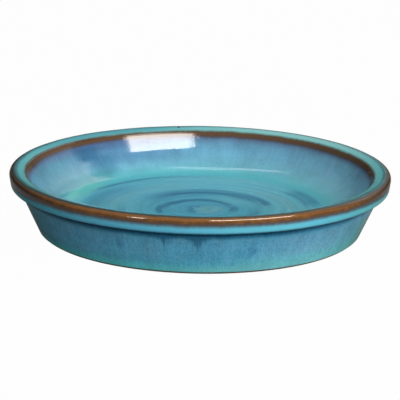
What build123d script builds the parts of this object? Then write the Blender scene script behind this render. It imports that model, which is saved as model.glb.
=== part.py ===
from build123d import *
import os
from math import cos, radians, sin, tan

# A glazed stoneware plant saucer: one thrown clay body and the coats of glaze fired onto it.
# Every piece is turned from a half section about the upright axis, where x is radius and z is height.
# The origin is the centre of the foot, on the table. Sizes are in millimetres, angles in degrees.

# Overall sizes, measured over the glaze
outer_diameter = 270.0  # across the rolled rim, at its widest
overall_height = 44.6  # from the table to the crest of the rim
base_diameter = 227.4  # where the slope of the outer wall meets the table

# Rim: a rolled outer edge, a top that falls inwards, and a collar below the roll
roll_radius = 3.8
top_fall_angle = 13.4  # how much the top falls towards the inside
collar_lean_angle = 8.5  # how much the collar leans out from the upright
collar_height = 11.0  # from the crest down to the collar's lower edge
collar_overhang = 6.2  # how far that edge stands out from the top of the wall
ledge_fall = 2.5  # how far the collar's underside falls back to the wall
collar_edge_radius = 1.8
groove_radius = 2.2  # over the glaze
groove_pool = 1.0  # how much tighter the clay's groove is, so that glaze pools in it
rim_width = 11.9  # from the widest line to the inner edge
inner_edge_radius = 3.0

# Inside: a wall that runs into a flat floor through a broad cove
floor_thickness = 10.5
wall_at_floor = 13.6  # level thickness of the wall where its slope meets the floor
cove_radius = 33.0  # over the glaze
cove_pool = 8.0  # how much tighter the clay's cove is, so that glaze pools in it

# Foot ring, left bare of glaze
recess_depth = 5.0
foot_width = 11.5  # from the wall's slope to the inner edge of the ring
recess_slope_angle = 40.0  # how much the side of the recess leans from the upright
foot_edge_radius = 1.8
foot_inner_radius = 1.6
recess_corner_radius = 3.0

# Coats of glaze
glaze_thickness = 0.8
glaze_line = 2.0  # height at which the outer coat stops above the table
outer_band_drop = 2.1  # brown band, down the collar from the end of the roll
outer_band_reach = 0.6  # brown band, along the top from the other end of the roll
inner_band_reach = 0.9  # brown band, along the top from the rounded inner edge
inner_band_drop = 1.2  # brown band, down the inside from the rounded inner edge
floor_coat_inset = 1.5  # from the end of the cove to the edge of the floor's coat
collar_coat_share = 0.5  # where on the collar's underside its coat meets the wall's


def at(radius, height):
    """A point of the half section."""
    return Vector(radius, 0, height)


def into_clay(direction):
    """The way into the clay, square to a surface that is followed up the outside and down the inside."""
    return Vector(-direction.Z, 0, direction.X).normalized()


def meeting(a, b, c, d):
    """Where the line through a and b meets the line through c and d."""
    ab, cd, ac = b - a, d - c, c - a
    share = (ac.X * cd.Z - ac.Z * cd.X) / (ab.X * cd.Z - ab.Z * cd.X)
    return a + ab * share


def rounding_reach(before, corner, after):
    """How much of each side a rounding of unit radius takes up at a corner."""
    return tan(radians((corner - before).get_angle(after - corner)) / 2)


def turned(edges):
    """The solid that a closed section sweeps about the upright axis."""
    return revolve(Face(Wire(edges)), Axis.Z, 360)


# The glazed surface, from the table up the outside, over the rim and across the floor
outer_radius = outer_diameter / 2
table = (at(0, 0), at(outer_radius, 0))
axis = (at(0, 0), at(0, overall_height))
base_point = at(base_diameter / 2, 0)

lean, fall = radians(collar_lean_angle), radians(top_fall_angle)
roll_scale = roll_radius / cos(lean + fall)
roll_corner = at(
    outer_radius - roll_radius + roll_scale * (cos(fall) + sin(lean)),
    overall_height - roll_radius + roll_scale * (cos(lean) + sin(fall)),
)
collar_level = overall_height - collar_height
collar_edge = at(roll_corner.X - (roll_corner.Z - collar_level) * tan(lean), collar_level)
wall_top = collar_edge - at(collar_overhang, ledge_fall)
mouth_radius = outer_radius - rim_width
inner_edge = at(mouth_radius, roll_corner.Z - (roll_corner.X - mouth_radius) * tan(fall))

floor_level = recess_depth + floor_thickness
floor_centre = at(0, floor_level)
outside_at_floor = meeting(base_point, wall_top, floor_centre, at(outer_radius, floor_level))
floor_corner = outside_at_floor - at(wall_at_floor, 0)

# The cove is no broader than the inside wall has room for under the brown band
edge_reach = inner_edge_radius * rounding_reach(roll_corner, inner_edge, floor_corner)
cove_room = (floor_corner - inner_edge).length - edge_reach - 2 * inner_band_drop
cove_used = min(cove_radius, cove_room / rounding_reach(inner_edge, floor_corner, floor_centre))

surface_points = [base_point, wall_top, collar_edge, roll_corner, inner_edge, floor_corner, floor_centre]
surface_radii = [groove_radius, collar_edge_radius, roll_radius, inner_edge_radius, cove_used]
surface = FilletPolyline(surface_points, radius=surface_radii)
groove, collar_round, roll, inner_round, cove = surface.edges().filter_by(GeomType.CIRCLE)

# The clay under it, one coat deeper, with smaller corners where the glaze pools
clay_lines = []
for start, end in zip(surface_points, surface_points[1:]):
    step = into_clay(end - start) * glaze_thickness
    clay_lines.append((start + step, end + step))
clay_corners = [meeting(*one, *other) for one, other in zip(clay_lines, clay_lines[1:])]
clay_foot = meeting(*clay_lines[0], *table)
clay_centre = meeting(*clay_lines[-1], *axis)
clay_points = [clay_foot, *clay_corners, clay_centre]
clay_radii = [
    groove_radius - groove_pool,
    collar_edge_radius - glaze_thickness,
    roll_radius - glaze_thickness,
    inner_edge_radius - glaze_thickness,
    cove_used - cove_pool,
]
clay = FilletPolyline(clay_points, radius=clay_radii)

# The bare foot ring and the recess inside it close the body's section
foot_inner = base_point - at(foot_width, 0)
recess_corner = foot_inner + at(-recess_depth * tan(radians(recess_slope_angle)), recess_depth)
recess_centre = at(0, recess_depth)
body_outline = FilletPolyline(
    [recess_centre, recess_corner, foot_inner, *clay_points],
    radius=[recess_corner_radius, foot_inner_radius, foot_edge_radius, *clay_radii],
)
body_axis = Line(clay_centre, recess_centre)


def seam(point, direction):
    """Where two coats meet: a point on the surface, and the point on the clay square below it."""
    return point, point + into_clay(direction) * glaze_thickness


def glaze_coat(start, end, start_edge=None):
    """The coat from one seam to the next; start_edge shapes an end that isn't a plain seam."""
    start_edge = start_edge or Line(*start)
    top = surface.trim(start[0], end[0])
    under = clay.trim(start_edge @ 1, end[1])
    return turned([start_edge, *top.edges(), *under.edges(), Line(*end)])


# The seams, in order from the foot to the middle of the floor
up_wall = groove % 0
foot_seam = seam(base_point + up_wall * (glaze_line / up_wall.Z), up_wall)
ledge_middle = (groove @ 1) * (1 - collar_coat_share) + (collar_round @ 0) * collar_coat_share
ledge_seam = seam(ledge_middle, groove % 1)
collar_seam = seam(roll @ 0 - (roll % 0) * outer_band_drop, roll % 0)
crest_seam = seam(roll @ 1 + (roll % 1) * outer_band_reach, roll % 1)
mouth_seam = seam(inner_round @ 0 - (inner_round % 0) * inner_band_reach, inner_round % 0)
inside_seam = seam(inner_round @ 1 + (inner_round % 1) * inner_band_drop, inner_round % 1)
floor_seam = seam(cove @ 1 + (cove % 1) * floor_coat_inset, cove % 1)
centre_seam = seam(floor_centre, cove % 1)

# The outer coat stops in a rounded bead, which meets the bare clay square on
bead_way = -(up_wall + into_clay(up_wall)).normalized()
bead_foot = foot_seam[1] - up_wall * glaze_thickness
glaze_bead = ThreePointArc(foot_seam[0], foot_seam[1] + bead_way * glaze_thickness, bead_foot)

pieces = {
    "clay_body": turned([*body_outline.edges(), body_axis]),
    "outer_wall_glaze": glaze_coat(foot_seam, ledge_seam, glaze_bead),
    "collar_glaze": glaze_coat(ledge_seam, collar_seam),
    "outer_rim_band": glaze_coat(collar_seam, crest_seam),
    "rim_top_glaze": glaze_coat(crest_seam, mouth_seam),
    "inner_rim_band": glaze_coat(mouth_seam, inside_seam),
    "inner_wall_glaze": glaze_coat(inside_seam, floor_seam),
    "floor_glaze": glaze_coat(floor_seam, centre_seam),
}

os.makedirs("parts", exist_ok=True)
for name, piece in pieces.items():
    export_step(piece, f"parts/{name}.step")
    print(name, "volume", round(piece.volume), "mm3")
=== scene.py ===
import math

import bpy
import numpy as np
from mathutils import Matrix, Vector

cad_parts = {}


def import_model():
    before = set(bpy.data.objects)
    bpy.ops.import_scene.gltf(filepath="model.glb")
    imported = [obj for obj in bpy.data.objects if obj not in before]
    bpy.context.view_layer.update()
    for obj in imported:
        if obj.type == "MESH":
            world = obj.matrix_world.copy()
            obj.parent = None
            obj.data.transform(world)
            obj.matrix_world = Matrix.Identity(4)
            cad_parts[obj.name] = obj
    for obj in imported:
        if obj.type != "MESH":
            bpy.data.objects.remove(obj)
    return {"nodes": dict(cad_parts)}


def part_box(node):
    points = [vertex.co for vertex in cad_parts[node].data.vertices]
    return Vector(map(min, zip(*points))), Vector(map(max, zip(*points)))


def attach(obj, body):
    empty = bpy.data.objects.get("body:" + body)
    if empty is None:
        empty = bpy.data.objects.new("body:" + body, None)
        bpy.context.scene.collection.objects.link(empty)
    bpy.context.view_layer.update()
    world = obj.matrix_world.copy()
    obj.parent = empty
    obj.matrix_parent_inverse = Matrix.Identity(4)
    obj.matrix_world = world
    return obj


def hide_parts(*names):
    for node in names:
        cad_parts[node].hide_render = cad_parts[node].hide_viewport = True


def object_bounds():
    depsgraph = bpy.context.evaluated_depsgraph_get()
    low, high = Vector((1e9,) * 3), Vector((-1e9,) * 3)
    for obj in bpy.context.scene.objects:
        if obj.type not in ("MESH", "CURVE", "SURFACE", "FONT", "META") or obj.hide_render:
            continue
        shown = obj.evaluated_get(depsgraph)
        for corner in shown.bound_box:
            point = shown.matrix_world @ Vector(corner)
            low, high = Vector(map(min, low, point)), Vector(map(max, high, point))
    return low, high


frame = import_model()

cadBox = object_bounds()
mm = 0.001
print("frame loaded:", sorted(frame["nodes"]))

# the half section, in mm: radius and height, followed from the table up the outside and down the inside
saucer = {
    "outerRadius": cadBox[1][0] / mm,
    "height": cadBox[1][2] / mm,
    "baseRadius": 113.7,
    "floorLevel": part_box("floor_glaze")[1][2] / mm,
    "rollRadius": 3.8,
    "topFall": math.radians(13.4),
    "collarLean": math.radians(8.5),
    "collarHeight": 11.0,
    "collarOverhang": 6.2,
    "ledgeFall": 2.5,
    "collarEdgeRadius": 1.8,
    "grooveRadius": 2.2,
    "groovePool": 1.0,
    "rimWidth": 11.9,
    "innerEdgeRadius": 3.0,
    "wallAtFloor": 13.6,
    "coveRadius": 33.0,
    "covePool": 8.0,
    "recessDepth": 5.0,
    "footWidth": 11.5,
    "recessSlope": math.radians(40),
    "footEdgeRadius": 1.8,
    "footInnerRadius": 1.6,
    "recessCornerRadius": 3.0,
    "glaze": 0.8,
    "glazeLine": 2.0,
}
# where the coats meet, measured past the end of the nearest rounding, in mm
coatEnds = {"collarDrop": 2.1, "crestReach": 0.6, "mouthReach": 0.9, "insideDrop": 1.2, "floorInset": 1.5}
# how fine the meshes are, in mm along the section and in steps around it
fineness = {"surface": 0.55, "floor": 0.9, "hidden": 2.5, "arc": 0.35, "around": 432}
leastSteps = {"straight": 2, "arc": 6}  # on the shortest stretches and roundings
leastGap = 0.6  # rows that are nearer than this share of the spacing are left out
sharpAngle = math.radians(40)  # edges of the meshes that are steeper than this stay sharp
tiny = {"weld": 1e-7, "axis": 1e-6}  # in metres: points that become one, and points on the axis


def unit(way):
    return way / np.linalg.norm(way)


def leftOf(way):
    return np.array((-way[1], way[0]))


def runningLength(points):
    return np.concatenate(([0], np.cumsum(np.linalg.norm(np.diff(points, axis=0), axis=1))))


def meeting(a, wayA, b, wayB):
    return a + wayA * np.linalg.solve(np.column_stack((wayA, -wayB)), b - a)[0]


def roundedPath(corners, radii):
    # straight stretches with rounded corners: points, outward normals, running length and the roundings' ends
    points, normals, bends = [], [], []

    def straight(a, b):
        count = max(leastSteps["straight"], int(np.linalg.norm(b - a) / fineness["surface"]))
        for share in np.linspace(0, 1, count, endpoint=False):
            points.append(a + (b - a) * share)
            normals.append(-leftOf(unit(b - a)))

    here = corners[0]
    for before, corner, after, radius in zip(corners, corners[1:], corners[2:], radii):
        wayIn, wayOut = unit(corner - before), unit(after - corner)
        turn = math.atan2(wayIn[0] * wayOut[1] - wayIn[1] * wayOut[0], wayIn @ wayOut)
        reach = radius * math.tan(abs(turn) / 2)
        start = corner - wayIn * reach
        straight(here, start)
        first = len(points)
        centre = start + leftOf(wayIn) * math.copysign(radius, turn)
        count = max(leastSteps["arc"], int(radius * abs(turn) / fineness["arc"]))
        for share in np.linspace(0, 1, count, endpoint=False):
            c, s = math.cos(turn * share), math.sin(turn * share)
            spin = np.array(((c, -s), (s, c)))
            points.append(centre + spin @ (start - centre))
            normals.append(-leftOf(spin @ wayIn))
        here = corner + wayOut * reach
        bends.append((first, len(points)))
    straight(here, corners[-1])
    points.append(corners[-1])
    normals.append(normals[-1])
    points, normals = np.array(points), np.array(normals)
    along = runningLength(points)
    ends = [(along[first], along[last]) for first, last in bends]
    return {"points": points, "normals": normals, "along": along, "bends": ends}


def sectionCorners():
    s = saucer
    lean, fall = s["collarLean"], s["topFall"]
    scale = s["rollRadius"] / math.cos(lean + fall)
    roll = np.array((
        s["outerRadius"] - s["rollRadius"] + scale * (math.cos(fall) + math.sin(lean)),
        s["height"] - s["rollRadius"] + scale * (math.cos(lean) + math.sin(fall)),
    ))
    collarLevel = s["height"] - s["collarHeight"]
    collarEdge = np.array((roll[0] - (roll[1] - collarLevel) * math.tan(lean), collarLevel))
    wallTop = collarEdge - (s["collarOverhang"], s["ledgeFall"])
    mouth = s["outerRadius"] - s["rimWidth"]
    innerEdge = np.array((mouth, roll[1] - (roll[0] - mouth) * math.tan(fall)))
    base = np.array((s["baseRadius"], 0.0))
    slope = (wallTop[0] - base[0]) / wallTop[1]
    floorCorner = np.array((base[0] + slope * s["floorLevel"] - s["wallAtFloor"], s["floorLevel"]))
    floorCentre = np.array((0.0, s["floorLevel"]))
    return [base, wallTop, collarEdge, roll, innerEdge, floorCorner, floorCentre]


def under(corners, depth):
    # the same outline, moved into the clay
    lines = []
    for a, b in zip(corners, corners[1:]):
        lines.append((a + leftOf(unit(b - a)) * depth, unit(b - a)))
    inner = [meeting(*one, *other) for one, other in zip(lines, lines[1:])]
    level, upright = np.array((1.0, 0.0)), np.array((0.0, 1.0))
    foot = meeting(*lines[0], np.zeros(2), level)
    centre = meeting(*lines[-1], np.zeros(2), upright)
    return [foot, *inner, centre]


surfaceCorners = sectionCorners()
surface = roundedPath(surfaceCorners, [
    saucer["grooveRadius"],
    saucer["collarEdgeRadius"],
    saucer["rollRadius"],
    saucer["innerEdgeRadius"],
    saucer["coveRadius"],
])
clayCorners = under(surfaceCorners, saucer["glaze"])
clayRadii = [
    saucer["grooveRadius"] - saucer["groovePool"],
    saucer["collarEdgeRadius"] - saucer["glaze"],
    saucer["rollRadius"] - saucer["glaze"],
    saucer["innerEdgeRadius"] - saucer["glaze"],
    saucer["coveRadius"] - saucer["covePool"],
]
clay = roundedPath(clayCorners, clayRadii)

# where each rounding of the glazed surface starts and ends, and where the coats meet, in mm along it
grooveBend, collarBend, rollBend, innerBend, coveBend = surface["bends"]
onOuterWall = surface["along"] < grooveBend[0]
outerWall = surface["points"][onOuterWall]
seams = {
    "foot": float(np.interp(saucer["glazeLine"], outerWall[:, 1], surface["along"][onOuterWall])),
    "ledge": (grooveBend[1] + collarBend[0]) / 2,
    "collar": rollBend[0] - coatEnds["collarDrop"],
    "crest": rollBend[1] + coatEnds["crestReach"],
    "mouth": innerBend[0] - coatEnds["mouthReach"],
    "inside": innerBend[1] + coatEnds["insideDrop"],
    "floor": coveBend[1] + coatEnds["floorInset"],
    "centre": float(surface["along"][-1]),
}
print("section:", {name: round(at, 1) for name, at in seams.items()})


def placeOn(path, length):
    def column(key):
        return np.array([np.interp(length, path["along"], path[key][:, i]) for i in (0, 1)])

    return column("points"), column("normals")


def nearestAlong(path, point):
    steps = np.diff(path["points"], axis=0)
    share = ((point - path["points"][:-1]) * steps).sum(1) / (steps ** 2).sum(1)
    share = share.clip(0, 1)
    found = path["points"][:-1] + steps * share[:, None]
    best = int(np.argmin(np.linalg.norm(found - point, axis=1)))
    return path["along"][best] + share[best] * np.linalg.norm(steps[best])


def stretch(path, start, end, spacing):
    # rows of radius, height, outward r, outward z and running length between two places on a path
    wanted = [start]
    for length in path["along"]:
        clear = start + spacing / 2 < length < end - spacing / 2
        if clear and length - wanted[-1] > spacing * leastGap:
            wanted.append(length)
    wanted.append(end)
    rows = []
    for length in wanted:
        point, normal = placeOn(path, length)
        rows.append((*point, *unit(normal), length))
    return np.array(rows)


beadAngles = np.radians((22.5, 45, 67.5))  # steps of the rounded bead above the foot


def coatSection(start, end, spacing, bead=False):
    # a coat's outline: its glazed side, then back along the clay; lift is 1 where the glaze is free
    top = stretch(surface, seams[start], seams[end], spacing)
    ends = []
    for name in (start, end):
        point, normal = placeOn(surface, seams[name])
        ends.append(nearestAlong(clay, point - normal * saucer["glaze"]))
    if bead:
        ends[0] -= saucer["glaze"]
    back = stretch(clay, ends[0], ends[1], fineness["hidden"])[::-1]
    # the hidden side takes its lengths from the range of the glazed side
    back[:, 4] = np.interp(back[:, 0], np.sort(top[:, 0]), np.sort(top[:, 4]))
    lift = np.concatenate((np.ones(len(top)), np.zeros(len(back))))
    rows = np.vstack((top, back))
    if bead:
        point, normal = placeOn(surface, seams[start])
        centre, downWall = point - normal * saucer["glaze"], unit(surfaceCorners[0] - surfaceCorners[1])
        for angle in beadAngles:
            way = normal * math.sin(angle) + downWall * math.cos(angle)
            rows = np.vstack((rows, (*(centre + way * saucer["glaze"]), *way, seams[start])))
            lift = np.append(lift, 0)
    return rows, lift


def bodySection():
    foot = surfaceCorners[0] - (saucer["footWidth"], 0)
    recess = foot + (-saucer["recessDepth"] * math.tan(saucer["recessSlope"]), saucer["recessDepth"])
    middle = np.array((0.0, saucer["recessDepth"]))
    radii = [saucer["recessCornerRadius"], saucer["footInnerRadius"], saucer["footEdgeRadius"], *clayRadii]
    path = roundedPath([middle, recess, foot, *clayCorners], radii)
    rows = stretch(path, 0, path["along"][-1], fineness["surface"] * 2)
    return rows, np.zeros(len(rows))


# relief of the glaze and the slight wobble of a turned pot, in metres
relief = {
    "Steps Around": fineness["around"],
    "Wobble": 0.0009,
    "Wobble Size": 0.16,
    "Unevenness": 0.00030,
    "Uneven Size": 0.030,
    "Ripple": 0.00005,
    "Ripple Size": 0.011,
    "Ring Height": 0.00006,
    "Ring Pitch": 0.0085,
}


class Tree:
    # short calls for placing nodes: sockets are linked, plain values are set
    def __init__(self, tree):
        self.tree = tree

    def add(self, kind, inputs=None, out=0, **settings):
        node = self.tree.nodes.new(kind)
        for name, value in settings.items():
            setattr(node, name, value)
        for key, value in (inputs or {}).items():
            socket = node.inputs[key]
            if isinstance(value, bpy.types.NodeSocket):
                self.tree.links.new(value, socket)
            else:
                socket.default_value = value
        return node.outputs[out]

    def math(self, operation, a, b=0.0, c=0.0):
        return self.add("ShaderNodeMath", {0: a, 1: b, 2: c}, operation=operation)

    def vector(self, operation, a, b=(0, 0, 0)):
        return self.add("ShaderNodeVectorMath", {0: a, 1: b}, operation=operation)

    def scaled(self, vector, amount):
        return self.add("ShaderNodeVectorMath", {0: vector, "Scale": amount}, operation="SCALE")

    def length(self, vector):
        return self.add("ShaderNodeVectorMath", {0: vector}, "Value", operation="LENGTH")


class ShapeTree(Tree):
    def noise(self, vector, size, detail=1.0, out=0):
        scale = self.math("DIVIDE", 1.0, size)
        return self.add("ShaderNodeTexNoise", {"Vector": vector, "Scale": scale, "Detail": detail}, out)

    def attribute(self, name):
        return self.add("GeometryNodeInputNamedAttribute", {"Name": name}, data_type="FLOAT")


def makeTurningTree():
    tree = bpy.data.node_groups.new("turnedCoat", "GeometryNodeTree")
    face = tree.interface
    face.new_socket("Section", in_out="INPUT", socket_type="NodeSocketGeometry")
    for name in relief:
        kind = "NodeSocketInt" if name == "Steps Around" else "NodeSocketFloat"
        face.new_socket(name, in_out="INPUT", socket_type=kind)
    face.new_socket("Guide Radius", in_out="INPUT", socket_type="NodeSocketFloat")
    face.new_socket("Finish", in_out="INPUT", socket_type="NodeSocketMaterial")
    face.new_socket("Mesh", in_out="OUTPUT", socket_type="NodeSocketGeometry")
    t = ShapeTree(tree)
    given = {s.name: s for s in tree.nodes.new("NodeGroupInput").outputs}

    # turn the section about the upright axis
    section = t.add("GeometryNodeMeshToCurve", {"Mesh": given["Section"]})
    size = {"Resolution": given["Steps Around"], "Radius": given["Guide Radius"]}
    circle = t.add("GeometryNodeCurvePrimitiveCircle", size)
    circle = t.add("GeometryNodeSetCurveNormal", {"Curve": circle}, mode="Z_UP")
    turned = t.add("GeometryNodeCurveToMesh", {"Curve": circle, "Profile Curve": section})
    turned = t.add("GeometryNodeMergeByDistance", {"Geometry": turned, "Distance": tiny["weld"]})

    # relief of the glaze, along the way out of the surface
    place = t.add("GeometryNodeInputPosition")
    level = t.vector("MULTIPLY", place, (1, 1, 0))
    radial = t.vector("NORMALIZE", level)
    out = t.vector("ADD", t.scaled(radial, t.attribute("outR")), t.scaled((0, 0, 1), t.attribute("outZ")))
    uneven = t.math("SUBTRACT", t.noise(place, given["Uneven Size"], 2.0), 0.5)
    ripple = t.math("SUBTRACT", t.noise(place, given["Ripple Size"], 1.0), 0.5)
    split = t.add("ShaderNodeSeparateXYZ", {0: place}).node
    angle = t.math("ARCTAN2", split.outputs[1], split.outputs[0])
    turns = t.math("DIVIDE", t.length(level), given["Ring Pitch"])
    wave = t.math("SINE", t.math("ADD", t.math("MULTIPLY", turns, 2 * math.pi), angle))
    ring = t.math("MULTIPLY", t.math("MULTIPLY", wave, given["Ring Height"]), t.attribute("rings"))
    lift = t.math("MULTIPLY", uneven, given["Unevenness"])
    lift = t.math("MULTIPLY_ADD", ripple, given["Ripple"], lift)
    lift = t.math("MULTIPLY", t.math("ADD", lift, ring), t.attribute("lift"))
    moved = t.add("GeometryNodeSetPosition", {"Geometry": turned, "Offset": t.scaled(out, lift)})

    # slight wobble of the whole pot, none at the foot
    drift = t.vector("SUBTRACT", t.noise(place, given["Wobble Size"], 0.0, out=1), (0.5, 0.5, 0.5))
    rise = t.math("MULTIPLY", split.outputs[2], 1 / (saucer["height"] * mm))
    drift = t.scaled(drift, t.math("MULTIPLY", given["Wobble"], rise))
    moved = t.add("GeometryNodeSetPosition", {"Geometry": moved, "Offset": drift})
    moved = t.add("GeometryNodeSetShadeSmooth", {"Geometry": moved, "Shade Smooth": True})
    whole = t.add("GeometryNodeRealizeInstances", {"Geometry": moved})
    whole = t.add("GeometryNodeSetMaterial", {"Geometry": whole, "Material": given["Finish"]})
    tree.links.new(whole, tree.nodes.new("NodeGroupOutput").inputs[0])
    return tree


def giveMap(mesh):
    # one strip per piece: around it, and along its outline
    count = len(mesh.vertices)
    place = np.empty(count * 3)
    mesh.vertices.foreach_get("co", place)
    place = place.reshape(-1, 3)
    around = np.arctan2(place[:, 1], place[:, 0]) / (2 * math.pi) % 1
    outline = np.empty(count)
    mesh.attributes["outline"].data.foreach_get("value", outline)
    corners = np.empty(len(mesh.loops), dtype=np.int32)
    mesh.loops.foreach_get("vertex_index", corners)
    starts = np.empty(len(mesh.polygons), dtype=np.int32)
    mesh.polygons.foreach_get("loop_start", starts)
    sizes = np.diff(np.append(starts, len(corners)))
    spots = []
    for values in (around, outline):
        # a face that crosses the seam of the strip runs on past its end
        spot = values[corners]
        highest = np.repeat(np.maximum.reduceat(spot, starts), sizes)
        spots.append(np.where(highest - spot > 0.5, spot + 1, spot))
    # corners on the axis have no place around it, and take that of their face
    onAxis = np.hypot(place[:, 0], place[:, 1])[corners] < tiny["axis"]
    others = np.where(onAxis, -1, spots[0])
    spots[0] = np.where(onAxis, np.repeat(np.maximum.reduceat(others, starts), sizes), spots[0])
    layer = mesh.uv_layers.new(name="OFBake")
    spots = np.stack(spots, 1) / (1 + 1 / fineness["around"])
    layer.uv.foreach_set("vector", spots.astype(np.float32).ravel())


innerMark = 61.2  # mm along at which the lists of colours have the start of the rim's inner rounding


def turnPiece(name, rows, lift, closed, material, turning):
    guide = saucer["outerRadius"] * mm
    mesh = bpy.data.meshes.new(name)
    outline = rows[:, :2]
    outR, outZ, length = rows[:, 2:].T
    count = len(rows)
    edges = [(i, i + 1) for i in range(count - 1)] + ([(count - 1, 0)] if closed else [])
    mesh.from_pydata([(r * mm - guide, -z * mm, 0) for r, z in outline], edges, [])
    reach = runningLength(outline)
    total = reach[-1] + (np.linalg.norm(outline[0] - outline[-1]) if closed else 0)
    pastCove = (length - coveBend[0]) / (coveBend[1] - coveBend[0])
    # the colours are placed by length along the surface, with the rim's inner edge always at the same mark
    places = (0, collarBend[1], innerBend[0], seams["centre"])
    marked = (0, collarBend[1], innerMark, innerMark + seams["centre"] - innerBend[0])
    values = {
        "outR": outR,
        "outZ": outZ,
        "along": np.interp(length, places, marked),
        "lift": lift,
        "rings": pastCove.clip(0, 1) if lift.any() else lift,
        "outline": reach / total,
    }
    for key, column in values.items():
        mesh.attributes.new(key, "FLOAT", "POINT").data.foreach_set("value", column.astype(np.float32))
    shell = bpy.data.objects.new(name, mesh)
    bpy.context.collection.objects.link(shell)
    modifier = shell.modifiers.new("turning", "NODES")
    modifier.node_group = turning
    wanted = {**relief, "Guide Radius": guide, "Finish": material}
    for socket in turning.interface.items_tree:
        if socket.in_out == "INPUT" and socket.name in wanted:
            modifier[socket.identifier] = wanted[socket.name]
    ready = shell.evaluated_get(bpy.context.evaluated_depsgraph_get())
    plain = bpy.data.meshes.new_from_object(ready)
    shell.modifiers.remove(modifier)
    shell.data = plain
    bpy.data.meshes.remove(mesh)
    plain.name = name
    plain.set_sharp_from_angle(angle=sharpAngle)
    giveMap(plain)
    print("turned", name, len(plain.vertices), "vertices")
    return shell


def paint(red, green, blue):
    # a colour as it is read off a screen, 0 to 255
    def straight(level):
        level /= 255
        return level / 12.92 if level <= 0.04045 else ((level + 0.055) / 1.055) ** 2.4

    return (straight(red), straight(green), straight(blue), 1)


# glaze colours by place: mm along the surface, and the colour there
outsideColours = [
    (2, (108, 184, 188)), (5, (98, 178, 188)), (8, (84, 168, 190)), (12, (82, 161, 189)),
    # from 31.4 to 39.6 mm the dark navy is glaze pooled in the groove and painted shade under the collar
    (24, (87, 159, 189)), (29.4, (86, 156, 183)), (31.4, (54, 118, 146)), (33.4, (2, 68, 96)),
    (38.0, (2, 70, 98)), (39.6, (28, 98, 124)), (41.2, (84, 163, 190)), (43.6, (91, 178, 206)),
    (44.9, (86, 146, 166)), (46.0, (76, 96, 108)), (47.0, (76, 64, 58)), (48.4, (87, 57, 32)),
    (50.2, (124, 80, 40)), (51.3, (120, 82, 46)), (52.3, (42, 46, 38)),
]
insideColours = [
    (52.3, (42, 46, 38)), (53.3, (42, 70, 70)), (55.2, (68, 130, 138)), (57.2, (102, 186, 194)),
    (60.6, (108, 186, 192)), (61.9, (96, 130, 126)), (62.9, (90, 72, 56)), (64.8, (94, 68, 46)),
    (66.2, (80, 66, 62)), (67.4, (78, 92, 110)), (69, (90, 122, 152)), (72, (98, 148, 176)),
    (78, (106, 166, 195)), (88, (112, 178, 201)), (94, (108, 184, 203)), (98, (98, 190, 204)),
    (104, (90, 188, 200)), (109, (84, 177, 194)), (120, (93, 177, 195)), (142, (97, 182, 203)),
    (165, (81, 171, 197)), (196, (79, 164, 196)),
]


class LookTree(Tree):
    def noise(self, vector, scale=1.0, detail=2.0, roughness=0.5, distortion=0.0):
        sockets = {"Vector": vector, "Scale": scale, "Detail": detail}
        sockets.update({"Roughness": roughness, "Distortion": distortion})
        return self.add("ShaderNodeTexNoise", sockets)

    def between(self, value, low, high, to=(0.0, 1.0)):
        sockets = {0: value, 1: low, 2: high, 3: to[0], 4: to[1]}
        return self.add("ShaderNodeMapRange", sockets, interpolation_type="SMOOTHSTEP")

    def mix(self, share, a, b, blend="MIX"):
        return self.add("ShaderNodeMix", {0: share, 6: a, 7: b}, 2, data_type="RGBA", blend_type=blend)

    def ramp(self, value, stops):
        low, high = stops[0][0], stops[-1][0]
        share = self.math("DIVIDE", self.math("SUBTRACT", value, low), high - low)
        socket = self.add("ShaderNodeValToRGB", {0: share})
        band = socket.node.color_ramp
        while len(band.elements) < len(stops):
            band.elements.new(0.5)
        for element, (at, colour) in zip(band.elements, stops):
            element.position = (at - low) / (high - low)
            element.color = paint(*colour)
        return socket


def newGroup(name, inputs, outputs):
    group = bpy.data.node_groups.new(name, "ShaderNodeTree")
    for label, value in inputs.items():
        group.interface.new_socket(label, in_out="INPUT", socket_type="NodeSocketFloat").default_value = value
    for label, kind in outputs.items():
        group.interface.new_socket(label, in_out="OUTPUT", socket_type=kind)
    given = {s.name: s for s in group.nodes.new("NodeGroupInput").outputs}
    return LookTree(group), given, group.nodes.new("NodeGroupOutput").inputs
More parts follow.
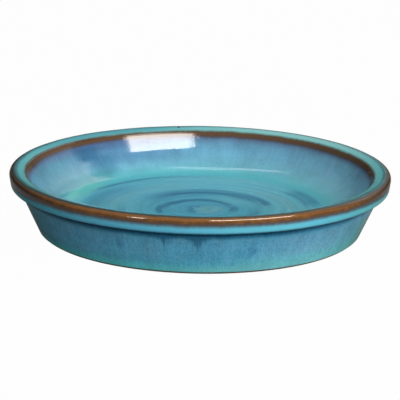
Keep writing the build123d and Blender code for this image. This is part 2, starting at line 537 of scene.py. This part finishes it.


# marks in the glaze, and painted shade and light; azimuths in degrees, 0 towards the camera and growing to
# the right
marks = {
    # glaze that ran down from the groove: azimuth, half width in degrees, length in mm
    "runs": [
        (-10.8, 3.6, 9.0), (-0.4, 5.2, 11.5), (62, 3.0, 7.0),
        (133, 2.6, 9.0), (-97, 3.2, 8.0), (-152, 2.4, 7.0),
    ],
    # brush strokes on the floor: azimuth and half spread in degrees; radius, growth per turn and half width
    # in mm; and how much of the stroke's colour they take
    "dark": [
        (-150, 42, 88, 0, 3.6, 0.8), (172, 84, 45, 4, 11.0, 0.75), (118, 22, 46, 8, 6.0, 0.75),
        (-168, 100, 25, 32, 5.0, 0.8), (-88, 28, 33, 30, 5, 0.7), (112, 20, 81.5, 0, 11.0, 0.6),
        (-112, 34, 76, 10, 11.0, 0.35), (-30, 80, 62, 20, 5.0, 0.5), (20, 90, 40, -20, 7.0, 0.6),
        (95, 32, 19, 10, 5, 0.55), (-95, 75, 13, 6, 2.6, 0.5),
    ],
    "pale": [
        (-135, 60, 64, 8, 10.0, 0.5), (122, 40, 62, -10, 10.0, 0.7), (90, 600, 5, 0, 8.5, 0.65),
        (-30, 60, 74, 12, 6.0, 0.5),
    ],
    # how far the middle of the brushed swirl stands from the axis, in mm to the right and to the back
    "swirlAt": (7.0, -7.0),
    # sides where a coat differs, and sides with painted shade and painted light: azimuth, half spread, place
    # along (from, full, fading, end), share, colour
    "sides": [
        (92, 60, (0, 1, 22, 31), 0.75, (70, 148, 138)),  # green low on the right
        (146, 56, (54.5, 56, 60, 61.5), 0.85, (142, 204, 205)),  # rim top, pale at the back right: a painted reflection
        (-142, 40, (54.5, 56, 60, 61.5), 0.7, (82, 158, 174)),  # and deeper at the back left
        (-146, 40, (66.5, 69, 80, 93), 0.6, (78, 120, 160)),  # inside wall, painted shade at the back left
        (34, 34, (0, 1, 9, 20), 0.55, (114, 188, 196)),  # pale above the foot, front right
        (123, 2.2, (69, 74, 84, 91), 0.55, (128, 176, 208)),  # narrow pale streak inside, on the right: painted light
        (-84, 50, (38, 40.5, 44, 45.5), 0.85, (36, 144, 152)),  # collar, left end: painted shade
        (80, 58, (38, 40.5, 44, 45.5), 0.8, (80, 158, 152)),  # collar, right end
        (-52, 62, (0, 1, 5, 10), 0.8, (92, 212, 206)),  # bright above the foot, front left
        (-84, 44, (4, 8, 26, 31), 0.6, (38, 140, 148)),  # outer wall, left end: painted shade
        (40, 26, (9, 14, 26, 30), 0.45, (122, 168, 192)),  # outer wall, pale at the front right
        (-114, 26, (97, 101, 108, 114), 0.55, (108, 204, 188)),  # cove, bright on the left
        (-85, 54, (44.2, 45.4, 50.6, 52), 0.85, (42, 34, 26)),  # brown band, left end: painted shade
        (86, 50, (44.2, 45.4, 50.6, 52), 0.8, (46, 38, 28)),  # brown band, right end: painted shade
        (100, 56, (67, 72, 98, 106), 0.3, (128, 190, 214)),  # inside wall, pale on the right
        (-106, 40, (68, 73, 88, 96), 0.5, (74, 134, 150)),  # inside wall, left
        (-46, 24, (8, 12, 26, 30), 0.35, (98, 166, 206)),  # outer wall, front left
        (-80, 36, (43.4, 44.6, 46.6, 48), 0.6, (26, 40, 56)),  # border below the brown band, left: painted shade
        (82, 36, (43.4, 44.6, 46.6, 48), 0.6, (30, 46, 60)),  # and right, also painted shade
        (62, 44, (49.6, 50.6, 52, 53), 0.6, (46, 34, 24)),  # crest, painted shade at the front right
        (-102, 42, (88, 93, 97.5, 100.5), 0.55, (10, 122, 142)),  # foot of the inside wall, left
        (-138, 44, (65.4, 67, 70, 75), 0.45, (72, 92, 132)),  # below the inner brown border, back left
        (0, 80, (52.4, 53, 54.6, 56.2), 0.6, (40, 50, 44)),  # dark line inside the crest, front
        (150, 80, (52.6, 53.2, 54.6, 55.8), 0.5, (84, 138, 144)),  # the same place at the back, paler
        (22, 30, (40, 41.5, 44, 45.4), 0.5, (98, 182, 194)),  # collar, front right
        (-40, 46, (2, 5, 15, 21), 0.4, (98, 184, 214)),  # low on the outer wall, front left
        (130, 46, (136, 144, 168, 186), 0.4, (114, 194, 212)),  # floor, pale on the right
        (-133.5, 8, (66, 70, 76, 82), 0.6, (34, 84, 124)),  # dark streak inside, back left, upper part
        (-140, 8, (74, 79, 90, 97), 0.45, (40, 104, 140)),  # and lower part
        (-130, 18, (86, 93, 98.5, 102), 0.5, (52, 142, 150)),  # foot of the inside wall, back left
        (-116, 46, (60.6, 61.4, 63.2, 64.4), 0.6, (70, 40, 18)),  # inner brown border, left: painted shade
    ],
    # a pinhole in the rim: azimuth, mm along, half width in degrees and in mm
    "pinhole": (-172.3, 56.2, 0.75, 1.2),
}
# clouds of another colour: count around and mm along of their noise, its detail, roughness and range
cloudKinds = {
    "wash": {
        "size": (11, 13), "detail": 3.0, "roughness": 0.5, "range": (0.46, 0.72),
        "share": 0.36, "colour": (112, 166, 196),
    },
    "deep": {
        "size": (13, 22), "detail": 4.0, "roughness": 0.6, "range": (0.52, 0.72),
        "share": 0.5, "colour": (52, 112, 158),
    },
    "flecks": {
        "size": (64, 2.2), "detail": 3.0, "roughness": 0.6, "range": (0.57, 0.70),
        "share": 0.4, "colour": (40, 100, 142),
    },
    "amber": {
        "size": (26, 5.0), "detail": 3.0, "roughness": 0.5, "range": (0.42, 0.68),
        "share": 0.28, "colour": (148, 98, 40),
    },
    "umber": {
        "size": (34, 4.0), "detail": 3.0, "roughness": 0.5, "range": (0.52, 0.72),
        "share": 0.25, "colour": (84, 54, 26),
    },
}
# the dark glaze that pools in the groove and hangs below it, darkened further as painted shade under the
# collar, in mm along
poolAndShade = {"edge": 32.0, "fading": (30.5, 33), "softness": (-0.5, 6.0), "share": 0.75, "colour": (26, 84, 118)}
# the brushed floor, in mm
brush = {
    "centred": 90.0,  # distance from the axis at which the swirl is round again
    "bristles": 5.0,  # size of the bristle marks, across the swirl
    "hairlines": 1.9,  # and of the hairlines
    "fray": 9.0,  # how far the edges of the strokes stray
}
strokeColours = {"pale": (110, 178, 190), "dark": (38, 110, 146)}
pinholeColour = (28, 52, 54)
# mm along where the outer wall and the brown band end, and where the floor's strokes start
zones = {"wallEnd": 32, "bandEnd": 52, "floorStart": 104}


def makeGlazeGroup(name, first, last):
    # the fired glaze between two places along the section: bands with wandering borders, the marks there, and
    # painted shade and light on some sides
    t, given, out = newGroup(
        name,
        {"Wander": 1.1, "Mottle": 0.5, "Strokes": 1.0},
        {"Colour": "NodeSocketColor", "Roughness": "NodeSocketFloat", "Height": "NodeSocketFloat"},
    )
    place = t.add("ShaderNodeTexCoord", out="Object")
    along = t.add("ShaderNodeAttribute", out="Fac", attribute_name="along")
    level = t.vector("MULTIPLY", place, (1, 1, 0))
    ring = t.vector("NORMALIZE", level)

    def onRing(aroundCount, alongSize):
        # seamless place on the wall: around the pot, and along the section
        up = t.add("ShaderNodeCombineXYZ", {2: t.math("DIVIDE", along, alongSize)})
        return t.vector("ADD", t.scaled(ring, aroundCount), up)

    def uneven(aroundCount, alongSize, roughness=0.5):
        # noise on the wall, above and below 0
        return t.math("SUBTRACT", t.noise(onRing(aroundCount, alongSize), roughness=roughness), 0.5)

    def degreesFrom(azimuth, about=ring):
        angle = -math.radians(azimuth)
        turned = t.add("ShaderNodeVectorRotate", {"Vector": about, "Angle": angle}, rotation_type="Z_AXIS")
        split = t.add("ShaderNodeSeparateXYZ", {0: turned}).node.outputs
        turn = t.math("ARCTAN2", split[0], t.math("MULTIPLY", split[1], -1.0))
        return t.math("DEGREES", turn)

    def facing(azimuth):
        return t.math("COSINE", t.math("RADIANS", degreesFrom(azimuth)))

    def tent(value, middle, reach):
        # 1 at the middle, falling evenly to 0
        away = t.math("ABSOLUTE", t.math("SUBTRACT", value, middle))
        return t.math("MAXIMUM", t.math("SUBTRACT", 1.0, t.math("DIVIDE", away, reach)), 0.0)

    def before(start, end):
        # 1 up to a place along the section, fading to 0 past it
        return t.math("SUBTRACT", 1.0, t.between(along, start, end))

    def within(start, full, fade, end):
        return t.math("SUBTRACT", t.between(along, start, full), t.between(along, fade, end))

    def clouded(colour, kind, where):
        cloud = cloudKinds[kind]
        spots = t.noise(onRing(*cloud["size"]), 1.0, cloud["detail"], cloud["roughness"])
        spots = t.between(spots, *cloud["range"], (0.0, cloud["share"]))
        return t.mix(t.math("MULTIPLY", spots, where), colour, paint(*cloud["colour"]))

    # borders wander; the inner border tilts a little, and the turquoise at the foot stands higher on one side
    shift = t.math("MULTIPLY_ADD", uneven(7, 40), 1.6, uneven(60, 4))
    shift = t.math("MULTIPLY", shift, given["Wander"])
    shift = t.math("MULTIPLY_ADD", t.math("MULTIPLY", facing(125), -0.3), within(57, 60, 65, 69), shift)
    footRise = t.math("MINIMUM", t.math("MULTIPLY_ADD", facing(45), -8.0, 5.5), 2.0)
    shift = t.math("MULTIPLY_ADD", footRise, before(9, 22), shift)
    wandered = t.math("ADD", along, shift)
    outside, inside = t.ramp(wandered, outsideColours), t.ramp(wandered, insideColours)
    colour = t.mix(t.math("GREATER_THAN", wandered, outsideColours[-1][0]), outside, inside)

    # washes and flecks on the outer wall, and runs of the dark pool that fade as they hang from the groove;
    # the pool is dark glaze and painted shade under the collar
    onWall = within(4, 9, 27, zones["wallEnd"])
    if first < zones["wallEnd"]:
        colour = clouded(colour, "wash", onWall)
        colour = clouded(colour, "deep", onWall)
        hairs = t.between(t.noise(onRing(150, 40), detail=1.0), 0.25, 0.75, (0.55, 1.15))
        hang = t.math("MULTIPLY_ADD", t.noise(onRing(30, 12), detail=3.0), 8.0, -3.2)
        for azimuth, reach, length in marks["runs"]:
            hang = t.math("MULTIPLY_ADD", tent(degreesFrom(azimuth), 0.0, reach), length, hang)
        hang = t.math("MULTIPLY", t.math("MAXIMUM", hang, 0.0), hairs)
        hang = t.math("SUBTRACT", hang, t.math("SUBTRACT", poolAndShade["edge"], along))
        pooledAndShaded = t.between(hang, *poolAndShade["softness"], (0.0, poolAndShade["share"]))
        pooledAndShaded = t.math("MULTIPLY", pooledAndShaded, before(*poolAndShade["fading"]))
        colour = t.mix(pooledAndShaded, colour, paint(*poolAndShade["colour"]))
        scattered = t.math("MULTIPLY", onWall, t.between(t.noise(onRing(5, 30)), 0.4, 0.6))
        colour = clouded(colour, "flecks", scattered)

    # amber and umber clouds in the brown band on the roll
    if first < zones["bandEnd"]:
        onBand = within(46.6, 48.2, 51.2, 52.3)
        colour = clouded(colour, "amber", onBand)
        colour = clouded(colour, "umber", onBand)

    # sides where the coat is thicker or thinner, sides with painted shade and painted light, and the pinhole
    for azimuth, reach, span, share, tint in marks["sides"]:
        if span[-1] < first or span[0] > last:
            continue
        spread = t.between(tent(degreesFrom(azimuth), 0.0, reach), 0.0, 0.8, (0.0, share))
        colour = t.mix(t.math("MULTIPLY", within(*span), spread), colour, paint(*tint))
    azimuth, middle, reach, size = marks["pinhole"]
    if first < middle < last:
        hole = t.math("MULTIPLY", tent(degreesFrom(azimuth), 0.0, reach), tent(along, middle, size))
        colour = t.mix(t.between(hole, 0.1, 0.5), colour, paint(*pinholeColour))

    # brushed strokes that swirl round the floor
    thin = 0.0
    if last > zones["floorStart"]:
        radius = t.math("DIVIDE", t.length(level), mm)
        offCentre = t.math("SUBTRACT", 1.0, t.math("DIVIDE", radius, brush["centred"]))
        offCentre = t.math("MULTIPLY", t.math("MAXIMUM", offCentre, 0.0), -mm)
        swirl = t.vector("ADD", level, t.scaled((*marks["swirlAt"], 0), offCentre))
        swirlRing = t.vector("NORMALIZE", swirl)
        swirlRadius = t.math("DIVIDE", t.length(swirl), mm)

        def brushed(pitch, scale, distortion):
            up = t.add("ShaderNodeCombineXYZ", {2: t.math("DIVIDE", swirlRadius, pitch)})
            return t.noise(t.vector("ADD", swirlRing, up), scale, 3.0, 0.6, distortion)

        comb = brushed(brush["bristles"], 1.6, 0.2)
        unfrayed = t.math("SUBTRACT", swirlRadius, brush["fray"] / 2)
        frayed = t.math("MULTIPLY_ADD", comb, brush["fray"], unfrayed)
        onFloor = t.math("MULTIPLY", t.between(along, zones["floorStart"], 111), given["Strokes"])

        for kind, tint in strokeColours.items():
            cover = 0.0
            for azimuth, spread, middle, growth, reach, depth in marks[kind]:
                turn = degreesFrom(azimuth, swirlRing)
                lane = t.math("MULTIPLY_ADD", turn, growth / 360, middle)
                stroke = t.between(tent(t.math("SUBTRACT", frayed, lane), 0.0, reach), 0.0, 0.8)
                ends = t.between(tent(turn, 0.0, spread), 0.0, 0.6, (0.0, depth))
                cover = t.math("MAXIMUM", t.math("MULTIPLY", stroke, ends), cover)
            colour = t.mix(t.math("MULTIPLY", cover, onFloor), colour, paint(*tint))
        thin = t.math("MULTIPLY_ADD", brushed(brush["hairlines"], 1.4, 0.1), 1.5, comb)
        thin = t.math("MULTIPLY", t.math("SUBTRACT", thin, 1.25), onFloor)

    # mottling: soft runs, clouds and fine specks on the walls, weak on the rim, and hairlines on the floor
    softRuns = uneven(34, 34)
    drifts = uneven(8, 13)
    specks = uneven(95, 1.5, roughness=0.7)
    onRim = within(37, 40, 64, 70)
    walls = t.math("MULTIPLY", before(87, 109), t.math("SUBTRACT", 1.0, t.math("MULTIPLY", onRim, 0.8)))
    streaks = t.math("MULTIPLY", uneven(120, 30), onWall)
    specks = t.math("MULTIPLY_ADD", t.math("MULTIPLY", specks, onWall), 0.9, specks)
    tone = t.math("MULTIPLY_ADD", softRuns, 0.5, t.math("MULTIPLY_ADD", drifts, 0.9, specks))
    tone = t.math("MULTIPLY_ADD", streaks, 0.65, tone)
    tone = t.math("MULTIPLY", t.math("MULTIPLY", tone, walls), given["Mottle"])
    tone = t.math("ADD", t.math("MULTIPLY_ADD", thin, -0.25, tone), 1.0)
    grey = t.add("ShaderNodeCombineColor", {0: tone, 1: tone, 2: tone})
    t.tree.links.new(t.mix(1.0, colour, grey, "MULTIPLY"), out["Colour"])

    # the glaze is dry where it thins over the crest of the rim
    dry = t.math("MULTIPLY", within(50.6, 52.2, 54.0, 55.6), 0.4)
    t.tree.links.new(t.math("ADD", dry, t.between(drifts, -0.2, 0.3, (0.05, 0.11))), out["Roughness"])
    t.tree.links.new(t.math("MULTIPLY_ADD", specks, 0.5, t.noise(place, 420.0, 1.0)), out["Height"])
    return t.tree


def newMaterial(name):
    material = bpy.data.materials.new(name)
    material.use_nodes = True
    t = LookTree(material.node_tree)
    shader = material.node_tree.nodes["Principled BSDF"]
    return material, t, shader


# how deep the fine grain of the glaze and of the clay looks: strength, and distance in metres
glazeGrain = {"Strength": 0.12, "Distance": 0.0004}
clayGrain = {"Strength": 0.35, "Distance": 0.0006}


def glazeMaterial(name, group, gloss):
    material, t, shader = newMaterial(name)
    node = t.add("ShaderNodeGroup", node_tree=group).node
    link = t.tree.links.new
    link(node.outputs["Colour"], shader.inputs["Base Color"])
    link(node.outputs["Roughness"], shader.inputs["Roughness"])
    bump = t.add("ShaderNodeBump", {"Height": node.outputs["Height"], **glazeGrain})
    link(bump, shader.inputs["Normal"])
    shader.inputs["Specular IOR Level"].default_value = gloss
    return material


def clayMaterial():
    material, t, shader = newMaterial("bareStoneware")
    place = t.add("ShaderNodeTexCoord", out="Object")
    grain = t.noise(place, 900.0, 4.0, 0.65)
    cloud = t.noise(place, 45.0, 3.0)
    body = t.mix(t.between(cloud, 0.35, 0.65), paint(98, 78, 62), paint(120, 96, 76))
    body = t.mix(t.between(grain, 0.60, 0.72), body, paint(66, 50, 38))
    link = t.tree.links.new
    link(body, shader.inputs["Base Color"])
    link(t.between(cloud, 0.3, 0.7, (0.72, 0.86)), shader.inputs["Roughness"])
    link(t.add("ShaderNodeBump", {"Height": grain, **clayGrain}), shader.inputs["Normal"])
    return material


# two groups, because one with every mark is more than the renderer takes in a shader
glazes = {
    "outer": makeGlazeGroup("outerGlaze", 0, innerMark),
    "inner": makeGlazeGroup("innerGlaze", 60, 200),
}
print("glazes mixed:", {name: len(group.nodes) for name, group in glazes.items()})

# each coat of glaze: the node it stands for, its slot, the seams it runs between, its glaze and its shine
coats = {
    "outerWallGlaze": {
        "node": "outer_wall_glaze", "slot": "blue_glaze", "from": "foot", "to": "ledge",
        "glaze": "outer", "gloss": 0.10,
    },
    "collarGlaze": {
        "node": "collar_glaze", "slot": "turquoise_glaze", "from": "ledge", "to": "collar",
        "glaze": "outer", "gloss": 0.10,
    },
    "outerRimBand": {
        "node": "outer_rim_band", "slot": "iron_glaze", "from": "collar", "to": "crest",
        "glaze": "outer", "gloss": 0.75,
    },
    "rimTopGlaze": {
        "node": "rim_top_glaze", "slot": "turquoise_glaze", "from": "crest", "to": "mouth",
        "glaze": "outer", "gloss": 0.3,
    },
    "innerRimBand": {
        "node": "inner_rim_band", "slot": "iron_glaze", "from": "mouth", "to": "inside",
        "glaze": "inner", "gloss": 0.2,
    },
    "innerWallGlaze": {
        "node": "inner_wall_glaze", "slot": "blue_glaze", "from": "inside", "to": "floor",
        "glaze": "inner", "gloss": 0.5,
    },
    "floorGlaze": {
        "node": "floor_glaze", "slot": "blue_glaze", "from": "floor", "to": "centre",
        "glaze": "inner", "gloss": 0.3,
    },
}
turning = makeTurningTree()
for name, coat in coats.items():
    onAxis = coat["to"] == "centre"
    spacing = fineness["floor"] if onAxis else fineness["surface"]
    rows, lift = coatSection(coat["from"], coat["to"], spacing, bead=coat["from"] == "foot")
    finish = glazeMaterial(name + "Finish", glazes[coat["glaze"]], coat["gloss"])
    piece = turnPiece(name, rows, lift, not onAxis, finish, turning)
    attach(piece, "root")
    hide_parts(coat["node"])
rows, lift = bodySection()
body = turnPiece("clayBody", rows, lift, False, clayMaterial(), turning)
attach(body, "root")
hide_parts("clay_body")

# camera, from the outlines of the rim and the foot in the photograph; lengths of the image are in pixels
view = {
    "elevation": math.radians(15.75),
    "distance": 11 * saucer["outerRadius"] * mm,
    "focalPixels": 2076.6,
    "imageWidth": 400,
    "originAt": (199.9, 227.95),
    "roll": math.radians(0.93),
    "sensorWidth": 36,
    "clipEnd": 20,
}


def placeCamera():
    camera = bpy.data.objects.new("camera", bpy.data.cameras.new("camera"))
    bpy.context.collection.objects.link(camera)
    camera.data.sensor_width = view["sensorWidth"]
    camera.data.lens = view["focalPixels"] / view["imageWidth"] * view["sensorWidth"]
    camera.data.clip_end = view["clipEnd"]
    rise, half = view["elevation"], view["imageWidth"] / 2
    back = Vector((0, -math.cos(rise), math.sin(rise)))
    right, up = Vector((1, 0, 0)), Vector((0, math.sin(rise), math.cos(rise)))
    aside = (view["originAt"][0] - half) / view["focalPixels"]
    below = (view["originAt"][1] - half) / view["focalPixels"]
    forward = (-back + up * below - right * aside).normalized()
    right = forward.cross(up).normalized()
    up = right.cross(forward)
    turn, tilt = math.cos(view["roll"]), math.sin(view["roll"])
    right, up = right * turn + up * tilt, up * turn - right * tilt
    axes = Matrix((right, up, -forward)).transposed().to_4x4()
    camera.matrix_world = Matrix.Translation(back * view["distance"]) @ axes
    bpy.context.scene.camera = camera


placeCamera()
print("camera placed")

# lamps, in metres and watts, by their upper edge: a long softbox at the front right, a panel at the front
# that lights the saucer and isn't mirrored in it, a small lamp at the left, and a strip behind and above
lamps = {
    "softbox": {
        "edge": ((0.074, -0.779, 1.066), (0.907, -0.360, 1.099)), "drop": 0.20, "power": 10.4,
        "tint": (1.0, 0.93, 0.86),
    },
    "frontPanel": {
        "edge": ((0.25, -2.00, 0.85), (1.90, -0.85, 0.85)), "drop": 0.85, "power": 33.6,
        "tint": (0.97, 1.03, 1.07), "mirrored": False,
    },
    "leftLamp": {
        "edge": ((-0.93, -1.008, 1.02), (-0.73, -1.163, 1.02)), "drop": 0.26, "power": 3.0,
    },
    "backStrip": {
        "edge": ((-0.60, 0.80, 1.6), (0.16, 0.80, 1.6)), "drop": 0.16, "power": 1.0,
    },
}
# a panel at the back right, in strips that grow dimmer towards the floor
sidePanel = {
    "from": (1.02, 0.42),
    "to": (0.14, 1.24),
    "top": 1.04,
    "strips": 10,
    "drop": 0.09,
    "power": 0.60,
    "fading": 1.5,
}
stage = {
    "floorSize": 12.0,
    "floorTone": 0.24,
    "floorRoughness": 0.9,
    "whiteShare": 0.985,
    "glossShare": 0.03,
    "roomLow": 0.03,
    "roomHigh": 0.20,
    "roomRise": 0.8,
}


def hangLamp(name, edge, drop, power, faces=(0, 0, 0), tint=(1, 1, 1), mirrored=True):
    # a lamp given by its upper edge, hung so that it faces the saucer or another place
    light = bpy.data.lights.new(name, "AREA")
    light.shape = "RECTANGLE"
    light.color = tint
    a, b = Vector(edge[0]), Vector(edge[1])
    light.size, light.size_y, light.energy = (b - a).length, drop, power
    across = (b - a).normalized()
    middle = (a + b) / 2
    facing = Vector(faces) - middle
    facing -= across * facing.dot(across)
    back = -facing.normalized()
    upright = back.cross(across)
    if upright.z < 0:
        across, upright = -across, -upright
    holder = bpy.data.objects.new(name, light)
    holder.visible_glossy = mirrored
    axes = Matrix((across, upright, back)).transposed().to_4x4()
    holder.matrix_world = Matrix.Translation(middle - upright * drop / 2) @ axes
    bpy.context.collection.objects.link(holder)


def hangSidePanel():
    for strip in range(sidePanel["strips"]):
        level = sidePanel["top"] - sidePanel["drop"] * strip
        edge = ((*sidePanel["from"], level), (*sidePanel["to"], level))
        power = sidePanel["power"] * (1 - strip / sidePanel["strips"]) ** sidePanel["fading"]
        hangLamp(f"sidePanel{strip + 1}", edge, sidePanel["drop"], power, (0, 0, level))


def makeFloor():
    bpy.ops.mesh.primitive_plane_add(size=stage["floorSize"])
    floor = bpy.context.object
    floor.name = "floor"
    material, t, shader = newMaterial("paleFloor")
    tone = stage["floorTone"]
    shader.inputs["Base Color"].default_value = (tone, tone, tone, 1)
    shader.inputs["Roughness"].default_value = stage["floorRoughness"]
    # the camera sees it nearly white, with the shadow left on it; mirrored rays see a small share of white
    path = t.add("ShaderNodeLightPath").node
    mirrored = t.math("MAXIMUM", path.outputs["Is Glossy Ray"], path.outputs["Is Transmission Ray"])
    share = t.math("MULTIPLY", path.outputs["Is Camera Ray"], stage["whiteShare"])
    share = t.math("MAXIMUM", share, t.math("MULTIPLY", mirrored, stage["glossShare"]))
    glow = t.add("ShaderNodeEmission", {"Color": (1, 1, 1, 1), "Strength": 1.0})
    both = t.add("ShaderNodeMixShader", {0: share, 1: shader.outputs[0], 2: glow})
    t.tree.links.new(both, t.tree.nodes["Material Output"].inputs["Surface"])
    floor.data.materials.append(material)


def lightRoom():
    world = bpy.data.worlds.new("studio")
    world.use_nodes = True
    bpy.context.scene.world = world
    background = world.node_tree.nodes["Background"]
    background.inputs["Color"].default_value = (1, 1, 1, 1)
    # the room is dim near the floor and lighter overhead
    t = LookTree(world.node_tree)
    height = t.add("ShaderNodeSeparateXYZ", {0: t.add("ShaderNodeTexCoord", out="Generated")}, "Z")
    strength = t.between(height, 0.0, stage["roomRise"], (stage["roomLow"], stage["roomHigh"]))
    t.tree.links.new(strength, background.inputs["Strength"])


for name, lamp in lamps.items():
    hangLamp(name, **lamp)
hangSidePanel()
makeFloor()
lightRoom()
bpy.context.scene.view_settings.view_transform = "Standard"
print("stage ready")
